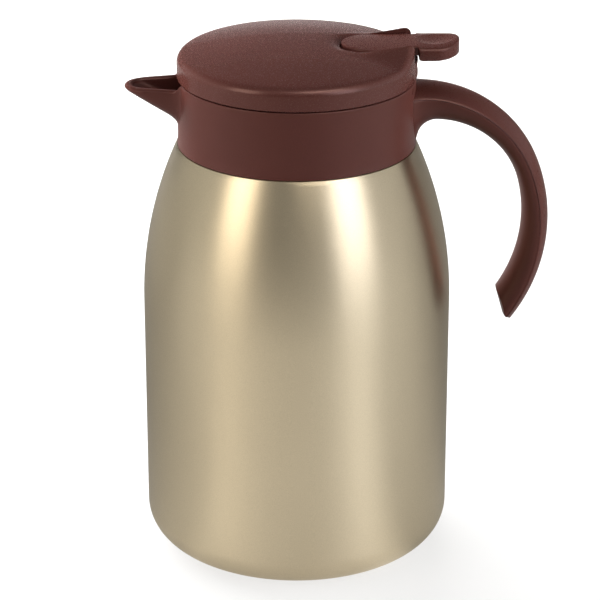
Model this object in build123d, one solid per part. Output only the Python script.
"""Thermal carafe with a turn lid and a thumb lever, in millimetres.

Z is up, X points from the axis to the handle, and the origin is on the axis at the face that the carafe
stands on. The spout lies on the -X side. Each function makes one piece.
"""

from build123d import *
from math import asin, atan2, cos, degrees, hypot, radians, sin, sqrt
import os

# ---- outer steel body -------------------------------------------------------------------------------------
body_radius = 65.0
base_corner_radius = 14.7
shoulder_start_height = 109.0
shoulder_arc_radius = 167.0
shell_wall = 0.8
foot_width = 6.3
base_plate_lap = 2.5
outer_bead_radius = 36.1
inner_bead_radius = 15.8
base_bead_width = 2.0
base_bead_height = 0.8
seal_plug_radius = 3.0
seal_plug_head = 2.0
seal_plug_rise = 0.4

# ---- inner steel vessel -----------------------------------------------------------------------------------
vacuum_gap = 3.0
floor_gap = 4.4
vessel_wall = 0.6
vessel_corner_radius = 12.0
vessel_shoulder_drop = 7.0
vessel_cone_height = 5.5
getter_length = 8.0
getter_width = 5.0
getter_height = 1.4
getter_offset = 20.0

# ---- collar and neck --------------------------------------------------------------------------------------
collar_radius = 49.4
collar_flare = 0.4
collar_flare_height = 5.0
collar_wall = 2.8
collar_height = 28.4
shell_lip = 0.15
seam_gap = 0.2
neck_height = 8.7
gasket_thickness = 1.2
neck_ring_wall = 3.1
neck_ring_recess = 0.5
thread_depth = 1.9
thread_engagement = 1.4
thread_play = 0.5
thread_run_in = 1.5
fit = 0.1
mouth_play = 0.4
snap_ring_height = 1.2
snap_ring_rise = 3.6
snap_ring_depth = 0.7
snap_ring_split = 6.0

# ---- thread of the lid ------------------------------------------------------------------------------------
thread_lead = 32.0
thread_starts = 4
thread_rib = 2.6
flank_gap = 0.15
ring_thread_height = 10.0
stopper_thread_height = 9.5

# ---- spout ------------------------------------------------------------------------------------------------
spout_reach = 21.8
spout_rim_drop = 3.5
spout_half_width = 13.2
spout_depth = 19.0
spout_wall = 2.4
spout_tip_radius = 4.6
spout_root_spread = 1.4
spout_lip_depth = 0.9
window_half_width = 11.0
window_height = 11.5
window_sill = 1.0

# ---- handle -----------------------------------------------------------------------------------------------
handle_drop = 2.0
handle_top_radius = 54.5
handle_grip_radius = 74.6
handle_join_angle = 21.5
handle_end_angle = -37.3
handle_end_slant = 4.5
handle_half_width = 11.5
handle_crown = 4.2
strip_gap = 0.1
grip_shift = 6.9
grip_lift = 1.2
grip_top_radius = 36.9
grip_low_radius = 60.9
grip_join_angle = 15.5
handle_tongue = 5.0
root_flare_width = 4.5
root_flare_depth = 7.0
root_flare_length = 6.4
handle_root_shift = 0.8

# ---- lid --------------------------------------------------------------------------------------------------
lid_overhang = 0.1
lid_gap = 0.4
lid_side_height = 6.3
lid_rim_radius = 3.5
lid_dome_height = 5.0
lid_wall = 2.2
channel_half_width = 12.4
channel_length = 31.9
channel_depth = 4.2
channel_floor_wall = 1.4
knuckle_well_depth = 2.0
knuckle_well_reach = 3.6
ear_rise = 2.7
ear_slope = 8.0
ear_run_in = 7.4
ear_crest_width = 1.0
ear_flank = 17.0
ear_foot_drop = 4.0
slot_half_width = 5.0
slot_height = 3.6
slot_rise = 2.6
slot_depth = 5.0

# ---- lever ------------------------------------------------------------------------------------------------
lever_gap = 0.5
lever_sink = 0.7
nose_gap = 0.9
lever_thickness = 3.4
lever_plate_inset = 1.5
pin_inset = 8.5
pin_drop = 3.2
pin_radius = 1.5
pin_seat = 1.6
pin_fit = 0.05
knuckle_radius = 2.7
knuckle_side_gap = 0.4
paddle_gap = 1.1
paddle_length = 16.4
paddle_half_width = 11.4
paddle_skirt = 5.6
paddle_skin = 1.8
skirt_wall = 1.6
paddle_step = 0.6
paddle_rise = 4.0
thumb_dish_depth = 1.2
arm_gap = 0.3
arm_width = 2.4
arm_height = 2.4
arm_spacing = 3.4
leg_inset = 4.4
leg_length = 4.5
leg_clearance = 2.2
arm_clearance = 0.6
lever_neck_inset = 3.2
lever_neck_thickness = 3.0
lever_neck_rise = 0.2

# ---- stopper ----------------------------------------------------------------------------------------------
stopper_wall = 2.4
stopper_drop = 10.6
stopper_base_thickness = 2.5
stopper_neck_inset = 3.4
stopper_base_inset = 1.2
stopper_shoulder_gap = 0.4
stopper_thread_rise = 2.0
deck_thickness = 2.0
deck_gap = 0.2
flange_thickness = 2.4
flange_gap = 0.1
flange_play = 0.3
seal_height = 3.9
seal_squeeze_gap = 0.2
seal_lip = 0.8
seal_lip_depth = 0.5
seal_lip_inset = 0.3
stopper_skirt = 3.4
oring_thickness = 1.0
oring_play = 0.2
screw_inset = 5.5
screw_radius = 1.3
screw_head_radius = 2.4
screw_head_height = 1.2
screw_sink = 0.2
screw_play = 0.15
screw_drive_length = 2.6
screw_drive_width = 0.6
screw_drive_depth = 0.8
screw_length = 5.0
screw_count = 4
boss_radius = 2.8

# ---- valve ------------------------------------------------------------------------------------------------
seat_radius = 12.5
seat_width = 1.6
seat_rise = 0.5
valve_radius = 15.2
valve_gasket_lap = 0.4
stem_below_seat = 1.5
valve_gasket_thickness = 1.5
valve_disc_thickness = 2.0
stem_radius = 2.5
stem_fit = 0.06
stem_cap_radius = 5.5
stem_cap_height = 1.6
stem_cap_gap = 0.3
stem_cap_socket = 0.6
bush_radius = 6.0
bush_height = 3.0
stem_ring_section = 1.6
stem_ring_sink = 0.2
clip_radius = 5.0
clip_thickness = 0.8
clip_opening = 2.0
spring_wire = 0.9
spring_radius = 7.0
spring_turns = 6
spring_gap = 0.1

# ---- heights and radii that follow ------------------------------------------------------------------------
BASE = (Align.CENTER, Align.CENTER, Align.MIN)

base_opening_radius = body_radius - base_corner_radius - foot_width
shoulder_axis = body_radius - shoulder_arc_radius
lip_radius = collar_radius + collar_flare + shell_lip
seam_height = shoulder_start_height + sqrt(shoulder_arc_radius**2 - (lip_radius - shoulder_axis) ** 2)
collar_bottom = seam_height + seam_gap
collar_top = collar_bottom + collar_height
collar_bore = collar_radius - collar_wall
neck_radius = collar_bore - 2 * fit
mouth_height = seam_height + neck_height
ring_bottom = mouth_height + gasket_thickness
ring_top = collar_top - neck_ring_recess
ring_outer = collar_bore - fit
ring_bore = ring_outer - neck_ring_wall
ring_rib_radius = ring_bore - thread_depth
stopper_rib_radius = ring_rib_radius + thread_engagement
stopper_radius = ring_rib_radius - thread_play
mouth_radius = stopper_radius - mouth_play
rim_height = collar_top - spout_rim_drop
window_top = rim_height
window_bottom = window_top - window_height
lid_radius = collar_radius + lid_overhang
lid_bottom = collar_top + lid_gap
lid_side_top = lid_bottom + lid_side_height
stopper_bottom = mouth_height - stopper_drop
stopper_base_top = stopper_bottom + stopper_base_thickness
groove_low = seam_height + snap_ring_rise - fit
groove_height = snap_ring_height + 2 * fit
stopper_base_radius = stopper_radius - stopper_base_inset
seal_outer = mouth_radius - seal_squeeze_gap
stopper_neck_radius = stopper_radius - stopper_neck_inset
groove_bottom = stopper_base_top + stopper_skirt
groove_top = groove_bottom + seal_height + 2 * fit
chamber_radius = stopper_radius - stopper_wall
lower_chamber_radius = stopper_neck_radius - stopper_wall
deck_bottom = rim_height + deck_gap
deck_top = deck_bottom + deck_thickness
bush_top = deck_top + bush_height
stem_bottom = stopper_base_top - stem_below_seat
gasket_top = stopper_base_top + valve_gasket_thickness
disc_top = gasket_top + valve_disc_thickness
channel_start = lid_radius - channel_length
ear_start = channel_start + ear_run_in
leg_start = channel_start + leg_inset
pin_reach = lid_radius - pin_inset
knuckle_well_start = pin_reach - knuckle_well_reach
paddle_start = lid_radius + paddle_gap
paddle_reach = paddle_start + paddle_length
screw_circle = lid_radius - screw_inset
ring_turn = 20.0
flank_turn = 360 * (thread_rib + flank_gap) / thread_lead
flange_bottom = lid_bottom + flange_gap
flange_top = flange_bottom + flange_thickness
leg_slot_half = arm_spacing + arm_width + arm_clearance

# Share of the way to the tip, of the root's width and of its depth, for each section of the spout.
SPOUT_TAPER = ((0.0, 1.0, 1.0), (0.18, 0.93, 0.70), (0.50, 0.72, 0.47), (0.80, 0.52, 0.25), (1.0, 0.40, 0.12))
# Share of the flare's length, out from the collar's face, and share of its size, for the handle's root.
ROOT_FLARE = ((-0.22, 1.0), (0.125, 0.62), (0.5, 0.25), (1.0, 0.04))
HANDLE_ANGLES = (76.0, 62.0, 48.0, 34.0, 21.5, 8.0, -6.0, -20.0, -34.0, -46.0)


def dome_angle():
    """Half opening of the dome's sphere, where it meets the rim fillet with no corner."""
    edge = lid_radius - lid_rim_radius
    angle = 0.1
    for _ in range(40):
        span = edge + lid_rim_radius * sin(angle)
        angle = 2 * atan2(lid_dome_height, span)
    return angle


lid_slope = dome_angle()
lid_span = lid_radius - lid_rim_radius + lid_rim_radius * sin(lid_slope)
lid_sphere = lid_span / sin(lid_slope)
lid_top = lid_side_top + lid_rim_radius * cos(lid_slope) + lid_dome_height
sphere_centre = lid_top - lid_sphere
lever_top = lid_top - lever_sink
channel_floor = lever_top - channel_depth
pin_height = lever_top - pin_drop
arm_bottom = bush_top + arm_gap
arm_top = arm_bottom + arm_height
stem_cap_bottom = arm_top + stem_cap_gap


# ---- helpers ----------------------------------------------------------------------------------------------
def ring(outer, inner, bottom, top):
    """Plain ring about the Z axis."""
    body = Cylinder(outer, top - bottom, align=BASE)
    return Pos(0, 0, bottom) * (body - Cylinder(inner, top - bottom, align=BASE))


def disc(radius, bottom, top):
    """Plain disc about the Z axis."""
    return Pos(0, 0, bottom) * Cylinder(radius, top - bottom, align=BASE)


def block(x0, x1, y0, y1, z0, z1):
    """Box between two corners."""
    return Pos(x0, y0, z0) * Box(x1 - x0, y1 - y0, z1 - z0, align=(Align.MIN, Align.MIN, Align.MIN))


def lathe(*edges):
    """Turns a closed outline of (radius, height) edges about the Z axis."""
    return revolve(Plane.XZ * make_face(Wire(list(edges))), Axis.Z)


def path(*points):
    """Straight edges through points, for an outline."""
    return Polyline(*points).edges()


def arc(centre, radius, start, sweep):
    """One arc edge of an outline, angles in degrees."""
    return CenterArc(centre, radius, start, sweep).edge()


def ellipse_arc(centre, x_radius, y_radius, start, sweep):
    """One edge of an ellipse, angles in degrees."""
    return EllipticalCenterArc(centre, x_radius, y_radius, start, arc_size=sweep).edge()


def shell_arc_angle(height):
    """Angle on the shoulder's arc at a height, in degrees."""
    return degrees(asin((height - shoulder_start_height) / shoulder_arc_radius))


# ---- steel body -------------------------------------------------------------------------------------------
def outer_shell():
    """Drawn outer body: lapped base edge, straight wall, ogive shoulder, ledge and neck."""
    t = shell_wall
    corner = (body_radius - base_corner_radius, base_corner_radius)
    centre = (shoulder_axis, shoulder_start_height)
    top = shell_arc_angle(seam_height)
    inner_r = shoulder_arc_radius - t
    inner_height = seam_height - t
    inner_angle = degrees(asin((inner_height - shoulder_start_height) / inner_r))
    inner_x = shoulder_axis + inner_r * cos(radians(inner_angle))
    vessel_neck = mouth_radius + vessel_wall
    outline = [
        *path((base_opening_radius, 0), (corner[0], 0)),
        arc(corner, base_corner_radius, -90, 90),
        *path((body_radius, corner[1]), (body_radius, shoulder_start_height)),
        arc(centre, shoulder_arc_radius, 0, top),
        *path(
            (lip_radius, seam_height),
            (neck_radius, seam_height),
            (neck_radius, mouth_height),
            (vessel_neck, mouth_height),
            (vessel_neck, mouth_height - t),
            (neck_radius - t, mouth_height - t),
            (neck_radius - t, inner_height),
            (inner_x, inner_height),
        ),
        arc(centre, inner_r, inner_angle, -inner_angle),
        *path((body_radius - t, shoulder_start_height), (body_radius - t, corner[1])),
        arc(corner, base_corner_radius - t, 0, -90),
        *path((corner[0], t), (base_opening_radius, t), (base_opening_radius, 0)),
    ]
    shell = lathe(*outline)
    groove_radius = neck_radius - snap_ring_depth / 2
    return shell - ring(neck_radius + 1, groove_radius, groove_low, groove_low + groove_height)


def outer_base():
    """Recessed bottom plate, lapped inside the shell, with two raised stiffening rings."""
    plate = disc(base_opening_radius + base_plate_lap, shell_wall, 2 * shell_wall)
    hollow = base_bead_width / 5
    for radius in (outer_bead_radius, inner_bead_radius):
        plate += ring(radius, radius - base_bead_width, 2 * shell_wall, 2 * shell_wall + base_bead_height)
        plate -= ring(radius - hollow, radius - base_bead_width + hollow, shell_wall, 2 * shell_wall)
    return plate - disc(seal_plug_radius, 0, 3 * shell_wall)


def vacuum_seal_plug():
    """Plug brazed into the evacuation hole, with a low head below the plate."""
    shank = disc(seal_plug_radius, shell_wall, 2 * shell_wall + seal_plug_rise)
    return shank + disc(seal_plug_radius + seal_plug_head, shell_wall - seal_plug_rise, shell_wall)


def vessel_outline(inset):
    """Half outline of the inner vessel, moved inwards by inset."""
    radius = body_radius - shell_wall - vacuum_gap - inset
    bottom = 2 * shell_wall + floor_gap + inset
    corner = vessel_corner_radius - inset
    arc_radius = shoulder_arc_radius - shell_wall - vacuum_gap - inset
    shoulder_top = seam_height - vessel_shoulder_drop - inset
    angle = degrees(asin((shoulder_top - shoulder_start_height) / arc_radius))
    shoulder_x = shoulder_axis + arc_radius * cos(radians(angle))
    neck = mouth_radius + vessel_wall - inset
    return [
        *path((0, bottom), (radius - corner, bottom)),
        arc((radius - corner, bottom + corner), corner, -90, 90),
        *path((radius, bottom + corner), (radius, shoulder_start_height)),
        arc((shoulder_axis, shoulder_start_height), arc_radius, 0, angle),
        *path(
            (shoulder_x, shoulder_top),
            (neck, shoulder_top + vessel_cone_height),
            (neck, mouth_height),
            (0, mouth_height),
            (0, bottom),
        ),
    ]


def inner_vessel():
    """Inner liner that holds the drink, open at the mouth."""
    return lathe(*vessel_outline(0)) - lathe(*vessel_outline(vessel_wall))


def getter_pill():
    """Gas getter, spot welded on the vacuum side of the bottom plate."""
    pill = Box(getter_length, getter_width, getter_height, align=BASE)
    return Pos(getter_offset, 0, 2 * shell_wall) * pill


# ---- neck and collar --------------------------------------------------------------------------------------
def mouth_gasket():
    """Flat gasket between the steel mouth and the threaded ring."""
    return ring(neck_radius - shell_wall, mouth_radius + mouth_play, mouth_height, ring_bottom)


def snap_ring():
    """Split spring ring, half in the neck's groove and half in the collar's."""
    bottom = seam_height + snap_ring_rise
    outer = neck_radius + snap_ring_depth
    body = ring(outer, neck_radius - snap_ring_depth / 2 + fit, bottom, bottom + snap_ring_height)
    half = snap_ring_split / 2
    return body - block(0, outer + 1, -half, half, bottom - 1, bottom + snap_ring_height + 1)


def helical_ribs(inner, outer, bottom, top, turn):
    """Multi-start thread ribs: bands of a helix with level ends, turned by an angle in degrees."""
    band = 360 * thread_rib / thread_lead
    height = top - bottom
    sweep = 360 * height / thread_lead
    start_angle = turn + 360 * bottom / thread_lead
    ribs = []
    for index in range(thread_starts):
        begin = start_angle + index * 360 / thread_starts
        outline = Wire(
            [
                arc((0, 0), outer, begin, band),
                Line(polar(inner, begin + band), polar(outer, begin + band)).edge(),
                arc((0, 0), inner, begin, band),
                Line(polar(inner, begin), polar(outer, begin)).edge(),
            ]
        )
        rib = Solid.extrude_linear_with_rotation(Face(outline), (0, 0, 0), (0, 0, height), sweep)
        ribs.append(Pos(0, 0, bottom) * rib)
    return ribs


def polar(radius, angle):
    """Point on a circle, angle in degrees."""
    return (radius * cos(radians(angle)), radius * sin(radians(angle)))


def pour_window(inner, outer, bottom, top, half_width):
    """Cutter for a window through the wall on the spout's side."""
    return block(-outer, -inner, -half_width, half_width, bottom, top)


def neck_ring():
    """Threaded insert that clamps the gasket and takes the stopper's thread."""
    body = ring(ring_outer, ring_bore, ring_bottom, ring_top)
    rib_top = ring_top - thread_run_in
    root = ring_bore + thread_play
    for rib in helical_ribs(ring_rib_radius, root, rib_top - ring_thread_height, rib_top, ring_turn):
        body += rib
    return body - pour_window(ring_bore / 2, ring_outer + 1, window_bottom, window_top, window_half_width)


def spout_sections(inset):
    """Sections of the spout from inside the collar's wall to its tip: x, half width and depth."""
    start = -(collar_radius - collar_wall / 2)
    length = spout_reach + collar_wall / 2
    sections = []
    for place, width, depth in SPOUT_TAPER:
        half = spout_half_width * width - inset
        down = spout_depth * depth - inset
        sections.append((start - place * length, half, max(down, spout_lip_depth)))
    return sections


def spout_loft(inset):
    """Solid through the spout's half-ellipse sections, level on top."""
    faces = []
    for x, half, down in spout_sections(inset):
        lower = ellipse_arc((0, 0), half, down, 180, 180)
        upper = Line((half, 0), (-half, 0)).edge()
        frame = Plane(origin=(x, 0, rim_height), x_dir=(0, 1, 0), z_dir=(1, 0, 0))
        faces.append(frame * make_face([lower, upper]))
    return loft(faces)


def spout_plan(inset):
    """Prism of the spout's plan, a wedge with a round tip, that trims the loft."""
    tip = Pos(-(collar_radius + spout_reach) + spout_tip_radius, 0) * Circle(spout_tip_radius - inset)
    root = Pos(-collar_radius + spout_half_width, 0) * Circle(spout_half_width * spout_root_spread)
    plan = make_hull(tip.edges() + root.edges())
    return Pos(0, 0, rim_height - 2 * spout_depth) * extrude(plan, 2 * spout_depth + 1)


# ---- handle -----------------------------------------------------------------------------------------------
def on_arc(centre, radius, angle):
    """Point at an angle on a circle in the XZ plane."""
    return (centre[0] + radius * cos(radians(angle)), centre[1] + radius * sin(radians(angle)))


def joined_arcs(top_centre, top_radius, low_radius, join_angle):
    """Centre of the lower arc that meets the upper one with no corner."""
    return on_arc(top_centre, top_radius - low_radius, join_angle)


def ray_length(origin, angle, centre, radius):
    """Distance from a point to a circle around it, along an angle."""
    dx, dz = cos(radians(angle)), sin(radians(angle))
    ox, oz = origin[0] - centre[0], origin[1] - centre[1]
    along = ox * dx + oz * dz
    return -along + sqrt(along * along - (ox * ox + oz * oz - radius * radius))


crown_centre = (collar_radius + handle_root_shift, collar_top - handle_drop - handle_top_radius)
crown_low_centre = joined_arcs(crown_centre, handle_top_radius, handle_grip_radius, handle_join_angle)
grip_centre = (crown_centre[0] + grip_shift, crown_centre[1] + grip_lift)
grip_low_centre = joined_arcs(grip_centre, grip_top_radius, grip_low_radius, grip_join_angle)


def handle_station(angle):
    """Outer point, inner point and outward direction of the handle at an angle along it."""
    upper = angle >= handle_join_angle
    centre, radius = (crown_centre, handle_top_radius) if upper else (crown_low_centre, handle_grip_radius)
    outer = on_arc(centre, radius, angle)
    reach_top = ray_length(centre, angle, grip_centre, grip_top_radius)
    point = on_arc(centre, reach_top, angle)
    turn = degrees(atan2(point[1] - grip_centre[1], point[0] - grip_centre[0]))
    if turn < grip_join_angle:
        point = on_arc(centre, ray_length(centre, angle, grip_low_centre, grip_low_radius), angle)
    return outer, point, angle


def handle_stations():
    """Stations from the root to past the end: outer point, inner point, direction and half width."""
    stations = []
    for step, flare in ROOT_FLARE:
        x = collar_radius + step * root_flare_length
        height = crown_centre[1] + sqrt(handle_top_radius**2 - (x - crown_centre[0]) ** 2)
        under = grip_centre[1] + sqrt(max(grip_top_radius**2 - (x - grip_centre[0]) ** 2, 0))
        low = under - root_flare_depth * flare
        stations.append(((x, height), (x, low), 90.0, handle_half_width + root_flare_width * flare))
    for angle in HANDLE_ANGLES:
        outer, inner, direction = handle_station(angle)
        stations.append((outer, inner, direction, handle_half_width))
    return stations


def handle_frame(outer, direction):
    """Plane across the handle: X along its width, Y outwards, origin on the crown."""
    d = radians(direction)
    travel = (sin(d), 0, -cos(d))
    return Plane(origin=(outer[0], 0, outer[1]), x_dir=(0, 1, 0), z_dir=travel)


def outward_sign(frame, direction):
    """Sign that makes the frame's Y axis point away from the grip."""
    d = radians(direction)
    return 1 if frame.y_dir.dot(Vector(cos(d), 0, sin(d))) > 0 else -1


def strip_face(station):
    """Section of the outer strip: a flat chord and a crowned outer arc."""
    outer, _, direction, half = station
    frame = handle_frame(outer, direction)
    sign = outward_sign(frame, direction)
    seat = -sign * (handle_crown - strip_gap)
    chord = Line((-half, seat), (half, seat)).edge()
    crown = ThreePointArc((half, seat), (0, 0), (-half, seat)).edge()
    return frame * make_face([chord, crown])


def core_face(station):
    """Section of the inner half: the same chord and a half ellipse on the grip side."""
    outer, inner, direction, half = station
    frame = handle_frame(outer, direction)
    sign = outward_sign(frame, direction)
    depth = hypot(outer[0] - inner[0], outer[1] - inner[1]) - handle_crown
    start = 180 if sign > 0 else 0
    grip = ellipse_arc((0, -sign * handle_crown), half, depth, start, 180)
    chord = Line((-half, -sign * handle_crown), (half, -sign * handle_crown)).edge()
    return frame * make_face([chord, grip])


def tongue_cutter():
    """Removes what lies beyond the handle's end, and leaves a round tongue."""
    outer, inner, _ = handle_station(handle_end_angle)
    inner = handle_station(handle_end_angle + handle_end_slant)[1]
    fall = Vector(outer[0] - inner[0], 0, outer[1] - inner[1]).normalized()
    beyond = Vector(fall.Z, 0, -fall.X)
    frame = Plane(origin=(outer[0], 0, outer[1]), x_dir=beyond, z_dir=fall)
    radius = (handle_half_width**2 + handle_tongue**2) / (2 * handle_tongue)
    reach = handle_grip_radius
    blank = Pos(reach / 2 - handle_tongue, 0) * Rectangle(reach, reach)
    outline = blank - Pos(-radius, 0) * Circle(radius)
    return extrude(frame * outline, reach, both=True)


def handle_body(face_of):
    """Loft of one layer of the handle, trimmed at its end."""
    body = loft([face_of(station) for station in handle_stations()])
    return body - tongue_cutter()


def handle_cover():
    """Outer strip of the handle, seated on the inner half and against the collar."""
    return handle_body(strip_face) - disc(collar_radius, 0, 2 * collar_top)


def collar_outline():
    """Half outline of the collar's wall, with its flared foot."""
    foot = collar_radius + collar_flare
    bend = collar_bottom + collar_flare_height
    return [
        *path((collar_bore, collar_bottom), (foot, collar_bottom)),
        Spline((foot, collar_bottom), (collar_radius, bend), tangents=[(-0.25, 1), (0, 1)]).edge(),
        *path((collar_radius, bend), (collar_radius, collar_top), (collar_bore, collar_top)),
        *path((collar_bore, collar_top), (collar_bore, collar_bottom)),
    ]


def collar():
    """Outer moulding of the neck, in one with the spout and the inner half of the handle."""
    wall = lathe(*collar_outline())
    core = disc(collar_bore + collar_wall / 2, 0, 2 * collar_top)
    spout = (spout_loft(0) & spout_plan(0)) - core
    grip = handle_body(core_face) - core
    body = wall + spout + grip
    trough = spout_loft(spout_wall) & spout_plan(spout_wall)
    body -= trough
    sill = window_bottom + window_sill
    inlet = pour_window(collar_bore / 2, collar_radius, sill, collar_top + 1, window_half_width)
    body -= inlet & disc(collar_radius + fit, 0, 2 * collar_top)
    groove_radius = neck_radius + snap_ring_depth + fit
    return body - ring(groove_radius, collar_bore - 1, groove_low, groove_low + groove_height)


# ---- lid --------------------------------------------------------------------------------------------------
def cap_outline(inset):
    """Half outline of the lid's skin, moved inwards by inset."""
    rim = lid_rim_radius - inset
    centre = (lid_radius - lid_rim_radius, lid_side_top)
    top = degrees(lid_slope)
    sphere = lid_sphere - inset
    return [
        *path((0, lid_bottom), (lid_radius - inset, lid_bottom), (lid_radius - inset, lid_side_top)),
        arc(centre, rim, 0, 90 - top),
        arc((0, sphere_centre), sphere, 90 - top, top),
        *path((0, sphere_centre + sphere), (0, lid_bottom)),
    ]


def channel_plan(gap, start, end):
    """Plan of the lever's channel or of the lever: parallel sides and an elliptical nose."""
    half = channel_half_width - gap
    nose = 1.25 * half
    front = start + gap
    tip = ellipse_arc((front + nose, 0), nose, half, 90, 180)
    sides = path((front + nose, -half), (end, -half), (end, half), (front + nose, half))
    return make_face([tip, *sides])


def ears():
    """Raised flanks on both sides of the channel, with hollow outer slopes, rising to the rear."""
    foot = lid_side_top - ear_foot_drop
    crest = lever_top + ear_rise
    top_half = channel_half_width + ear_crest_width
    flank = top_half + ear_flank
    right = Spline((flank, foot + 1), (top_half, crest), tangents=[(-1, 0.25), (-0.35, 1)]).edge()
    left = Spline((-top_half, crest), (-flank, foot + 1), tangents=[(-0.35, -1), (-1, -0.25)]).edge()
    foot_line = path((-flank, foot + 1), (-flank, foot), (flank, foot), (flank, foot + 1))
    outline = make_face([*foot_line, right, *path((top_half, crest), (-top_half, crest)), left])
    frame = Plane(origin=(ear_start / 2, 0, 0), x_dir=(0, 1, 0), z_dir=(1, 0, 0))
    bar = extrude(frame * outline, lid_radius)
    tilt = Pos(lid_radius, 0, crest) * Rot(0, -ear_slope, 0) * Pos(-lid_radius, 0, -crest)
    return (tilt * bar) & disc(lid_radius, (lid_bottom + lid_side_top) / 2, crest + 1)


def lid_cap():
    """Domed lid skin with the lever's channel, its two ears, screw bosses and the rear slot."""
    past_rim = 2 * lid_radius
    floor = channel_floor - channel_floor_wall
    hollow = lathe(*cap_outline(lid_wall))
    hollow -= Pos(0, 0, floor) * extrude(channel_plan(-lid_wall, channel_start, past_rim), lid_top)
    well_half = channel_half_width + lid_wall
    well_floor = channel_floor - knuckle_well_depth
    well_bottom = well_floor - channel_floor_wall
    hollow -= block(knuckle_well_start - lid_wall, past_rim, -well_half, well_half, well_bottom, lid_top)
    for angle in screw_angles():
        x, y = polar(screw_circle, angle)
        hollow -= Pos(x, y, 0) * disc(boss_radius, flange_top, lid_top)
    body = lathe(*cap_outline(0)) + ears() - hollow
    body -= Pos(0, 0, channel_floor) * extrude(channel_plan(0, channel_start, past_rim), lid_top)
    knuckle_half = channel_half_width - knuckle_side_gap / 2
    body -= block(knuckle_well_start, past_rim, -knuckle_half, knuckle_half, well_floor, channel_floor + 1)
    leg_front = leg_start - leg_clearance
    leg_rear = leg_start + leg_length + leg_clearance
    body -= block(leg_front, leg_rear, -leg_slot_half, leg_slot_half, floor - 1, channel_floor + 1)
    slot_z = lid_bottom + slot_rise
    slot_in, slot_out = lid_radius - slot_depth, lid_radius + 1
    body -= block(slot_in, slot_out, -slot_half_width, slot_half_width, slot_z, slot_z + slot_height)
    bore = Rot(90, 0, 0) * Cylinder(pin_radius + fit / 2, 2 * (channel_half_width + pin_seat + fit))
    body -= Pos(pin_reach, 0, pin_height) * bore
    for angle in screw_angles():
        x, y = polar(screw_circle, angle)
        body -= Pos(x, y, 0) * disc(screw_radius + fit / 2, lid_bottom - 1, flange_top + screw_length)
    return body


def screw_angles():
    """Angles of the lid's screws, clear of the channel and of the spout."""
    return [360 * (index + 0.5) / screw_count for index in range(screw_count)]


def lid_screws():
    """Screws that hold the stopper's flange to the lid, with heads sunk in the flange."""
    screws = None
    for angle in screw_angles():
        x, y = polar(screw_circle, angle)
        head = Cone(screw_head_radius, screw_radius, screw_head_height, align=BASE)
        shank = disc(screw_radius, screw_head_height, screw_head_height + screw_length)
        cross = Box(screw_drive_length, screw_drive_width, screw_drive_depth, align=BASE)
        cross += Box(screw_drive_width, screw_drive_length, screw_drive_depth, align=BASE)
        screw = Pos(x, y, flange_bottom + screw_sink) * (head + shank - cross)
        screws = screw if screws is None else screws + screw
    return screws


def stopper_body():
    """Threaded plug: pouring chamber with a window, deck with the stem's bush, and the flange."""
    neck_bottom = stopper_base_top + oring_thickness
    shoulder = ring_bottom + stopper_shoulder_gap
    body = ring(stopper_neck_radius, lower_chamber_radius, neck_bottom, shoulder)
    body += ring(stopper_base_radius, lower_chamber_radius, groove_top, shoulder)
    body += ring(stopper_radius, lower_chamber_radius, shoulder, shoulder + stopper_wall)
    body += ring(stopper_radius, chamber_radius, shoulder, flange_bottom)
    body += disc(stopper_radius, deck_bottom, deck_top)
    body += ring(lid_radius - lid_wall - flange_play, chamber_radius, flange_bottom, flange_top)
    body += disc(bush_radius, deck_top - fit, bush_top)
    thread_bottom = ring_bottom + stopper_thread_rise
    thread_top = thread_bottom + stopper_thread_height
    root = stopper_radius - mouth_play
    for rib in helical_ribs(root, stopper_rib_radius, thread_bottom, thread_top, ring_turn + flank_turn):
        body += rib
    head = window_top - thread_run_in
    inside, outside = lower_chamber_radius / 2, stopper_rib_radius + 1
    body -= pour_window(inside, outside, window_bottom, head, window_half_width)
    body -= disc(stem_radius + stem_fit, deck_bottom - 1, bush_top + 1)
    counterbore = bush_top - stem_ring_section - stem_ring_sink
    body -= disc(stem_radius + stem_ring_section + fit, counterbore, bush_top + 1)
    head_radius = screw_head_radius + screw_play
    hole_radius = screw_radius + screw_play
    head_bottom = flange_bottom + screw_sink
    for angle in screw_angles():
        x, y = polar(screw_circle, angle)
        body -= Pos(x, y, head_bottom) * Cone(head_radius, hole_radius, screw_head_height, align=BASE)
        body -= Pos(x, y, 0) * disc(head_radius, flange_bottom - 1, head_bottom)
        body -= Pos(x, y, 0) * disc(hole_radius, flange_bottom, flange_top + 1)
    return body


def stopper_base():
    """Screwed-on bottom of the stopper with the valve's seat."""
    body = disc(stopper_base_radius, stopper_bottom, stopper_base_top)
    body += ring(stopper_base_radius, stopper_neck_radius + fit, stopper_base_top, groove_bottom)
    body += ring(seat_radius + seat_width, seat_radius, stopper_base_top, stopper_base_top + seat_rise)
    return body - disc(seat_radius, stopper_bottom - 1, stopper_base_top + 1)


def base_oring():
    """Ring seal between the stopper's body and its bottom."""
    outer = stopper_neck_radius - oring_play
    inner = lower_chamber_radius + oring_play
    return ring(outer, inner, stopper_base_top, stopper_base_top + oring_thickness)


def lid_seal():
    """Rubber seal round the stopper, with two lips against the steel mouth."""
    inner = stopper_neck_radius + fit
    bottom = groove_bottom + fit
    top = bottom + seal_height - fit
    body = ring(seal_outer - seal_lip, inner, bottom, top)
    for lip in (bottom + seal_lip_inset, top - seal_lip_inset - seal_lip):
        body += ring(seal_outer, inner + seal_lip_depth, lip, lip + seal_lip)
    return body


# ---- valve ------------------------------------------------------------------------------------------------
def valve_stem():
    """Rod from the valve disc up through the deck to the lever's arms."""
    return disc(stem_radius, stem_bottom, stem_cap_bottom + stem_cap_socket)


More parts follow.
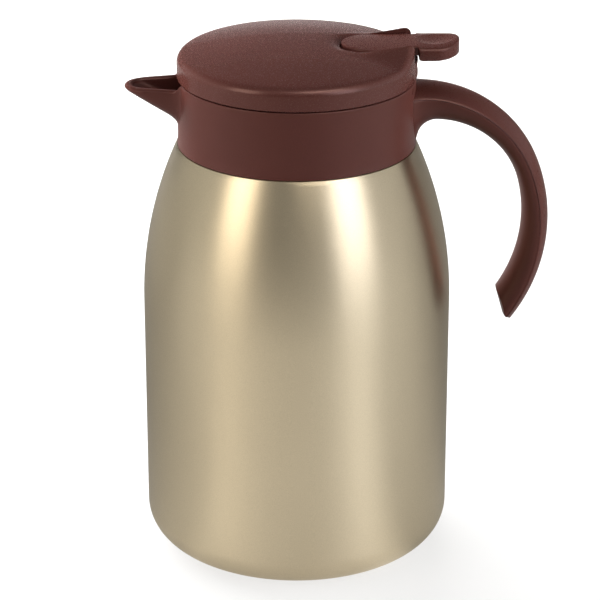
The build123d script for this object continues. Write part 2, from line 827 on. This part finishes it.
def stem_cap():
    """Head screwed on the stem, which the lever's arms lift."""
    head = disc(stem_cap_radius, stem_cap_bottom, stem_cap_bottom + stem_cap_height)
    return head - disc(stem_radius, stem_cap_bottom - 1, stem_cap_bottom + stem_cap_socket)


def valve_disc():
    """Rigid plate that backs the valve's gasket."""
    return disc(valve_radius - valve_gasket_lap, gasket_top, disc_top) - disc(stem_radius, 0, disc_top + 1)


def valve_gasket():
    """Soft seat washer below the valve disc."""
    return ring(valve_radius, stem_radius, stopper_base_top + seat_rise + fit, gasket_top)


def stem_clip():
    """Clip that holds the valve disc on its stem, open on one side."""
    body = ring(clip_radius, stem_radius, disc_top, disc_top + clip_thickness)
    half = clip_opening / 2
    return body - block(0, clip_radius + 1, -half, half, disc_top - 1, disc_top + clip_thickness + 1)


def stem_seal():
    """Ring seal round the stem, in the bush."""
    top = bush_top - stem_ring_sink
    return ring(stem_radius + stem_ring_section, stem_radius + stem_fit, top - stem_ring_section, top)


def valve_spring():
    """Coil spring that holds the valve shut, between the deck and the disc."""
    bottom = disc_top + spring_wire / 2 + spring_gap
    top = deck_bottom - spring_wire / 2 - spring_gap
    height = top - bottom
    line = Helix(height / spring_turns, height, spring_radius)
    start = Plane(origin=line @ 0, z_dir=line % 0)
    coil = sweep(start * Circle(spring_wire / 2), path=line)
    return Pos(0, 0, bottom) * coil


# ---- lever ------------------------------------------------------------------------------------------------
def lever_pin():
    """Hinge pin, fixed in the two ears."""
    bar = Rot(90, 0, 0) * Cylinder(pin_radius, 2 * (channel_half_width + pin_seat))
    return Pos(pin_reach, 0, pin_height) * bar


def paddle_plan(inset):
    """Plan of the paddle: straight sides and an elliptical end."""
    half = paddle_half_width - inset
    length = 1.15 * paddle_half_width
    centre = paddle_reach - length
    tip = ellipse_arc((centre, 0), length - inset, half, -90, 180)
    sides = path((centre, half), (paddle_start + inset, half), (paddle_start + inset, -half), (centre, -half))
    return make_face([tip, *sides])


def paddle():
    """Thumb paddle with a skirt, a round end and a shallow dish on top."""
    top = lever_top + paddle_step
    body = Pos(0, 0, top - paddle_skirt) * extrude(paddle_plan(0), paddle_skirt)
    pocket = paddle_skirt - paddle_skin - thumb_dish_depth
    body -= Pos(0, 0, top - paddle_skirt - 1) * extrude(paddle_plan(skirt_wall), pocket + 1)
    dish_radius = (paddle_half_width**2 + thumb_dish_depth**2) / (2 * thumb_dish_depth)
    dish = Pos((paddle_start + paddle_reach) / 2, 0, top + dish_radius - thumb_dish_depth)
    body -= dish * Sphere(dish_radius)
    tilt = Pos(paddle_start, 0, top) * Rot(0, -paddle_rise, 0) * Pos(-paddle_start, 0, -top)
    return tilt * body


def lever():
    """Thumb lever: nose plate in the channel, hinge knuckle, paddle, leg and two arms."""
    nose_front = channel_start + nose_gap - lever_gap
    plate_end = lid_radius - lever_plate_inset
    plate = channel_plan(lever_gap, nose_front, plate_end)
    body = Pos(0, 0, lever_top - lever_thickness) * extrude(plate, lever_thickness)
    neck_half = channel_half_width - lever_neck_inset
    neck_bottom = lever_top - lever_neck_thickness
    neck_top = lever_top + lever_neck_rise
    body += block(plate_end - 1, paddle_start + 1, -neck_half, neck_half, neck_bottom, neck_top)
    knuckle_half = channel_half_width - lever_gap - knuckle_side_gap
    knuckle = Rot(90, 0, 0) * Cylinder(knuckle_radius, 2 * knuckle_half)
    body += Pos(pin_reach, 0, pin_height) * knuckle
    body += paddle()
    leg_back = leg_start + leg_length
    arm_outer = arm_spacing + arm_width
    body += block(leg_start, leg_back, -arm_outer, arm_outer, arm_bottom, lever_top - 1)
    for side in (-1, 1):
        inner, outer = sorted((side * arm_spacing, side * arm_outer))
        body += block(0, leg_start + 1, inner, outer, arm_bottom, arm_top)
        tip = Rot(90, 0, 0) * Cylinder(arm_height / 2, arm_width)
        body += Pos(0, (inner + outer) / 2, arm_top - arm_height / 2) * tip
    hole = Rot(90, 0, 0) * Cylinder(pin_radius + pin_fit, 4 * channel_half_width)
    return body - Pos(pin_reach, 0, pin_height) * hole


PIECES = (
    outer_shell,
    outer_base,
    vacuum_seal_plug,
    inner_vessel,
    getter_pill,
    mouth_gasket,
    snap_ring,
    neck_ring,
    collar,
    handle_cover,
    lid_cap,
    lid_screws,
    stopper_body,
    stopper_base,
    base_oring,
    lid_seal,
    lever_pin,
    stem_seal,
    lever,
    valve_stem,
    stem_cap,
    valve_disc,
    valve_gasket,
    stem_clip,
    valve_spring,
)

os.makedirs("parts", exist_ok=True)
for piece in PIECES:
    export_step(piece(), f"parts/{piece.__name__}.step")
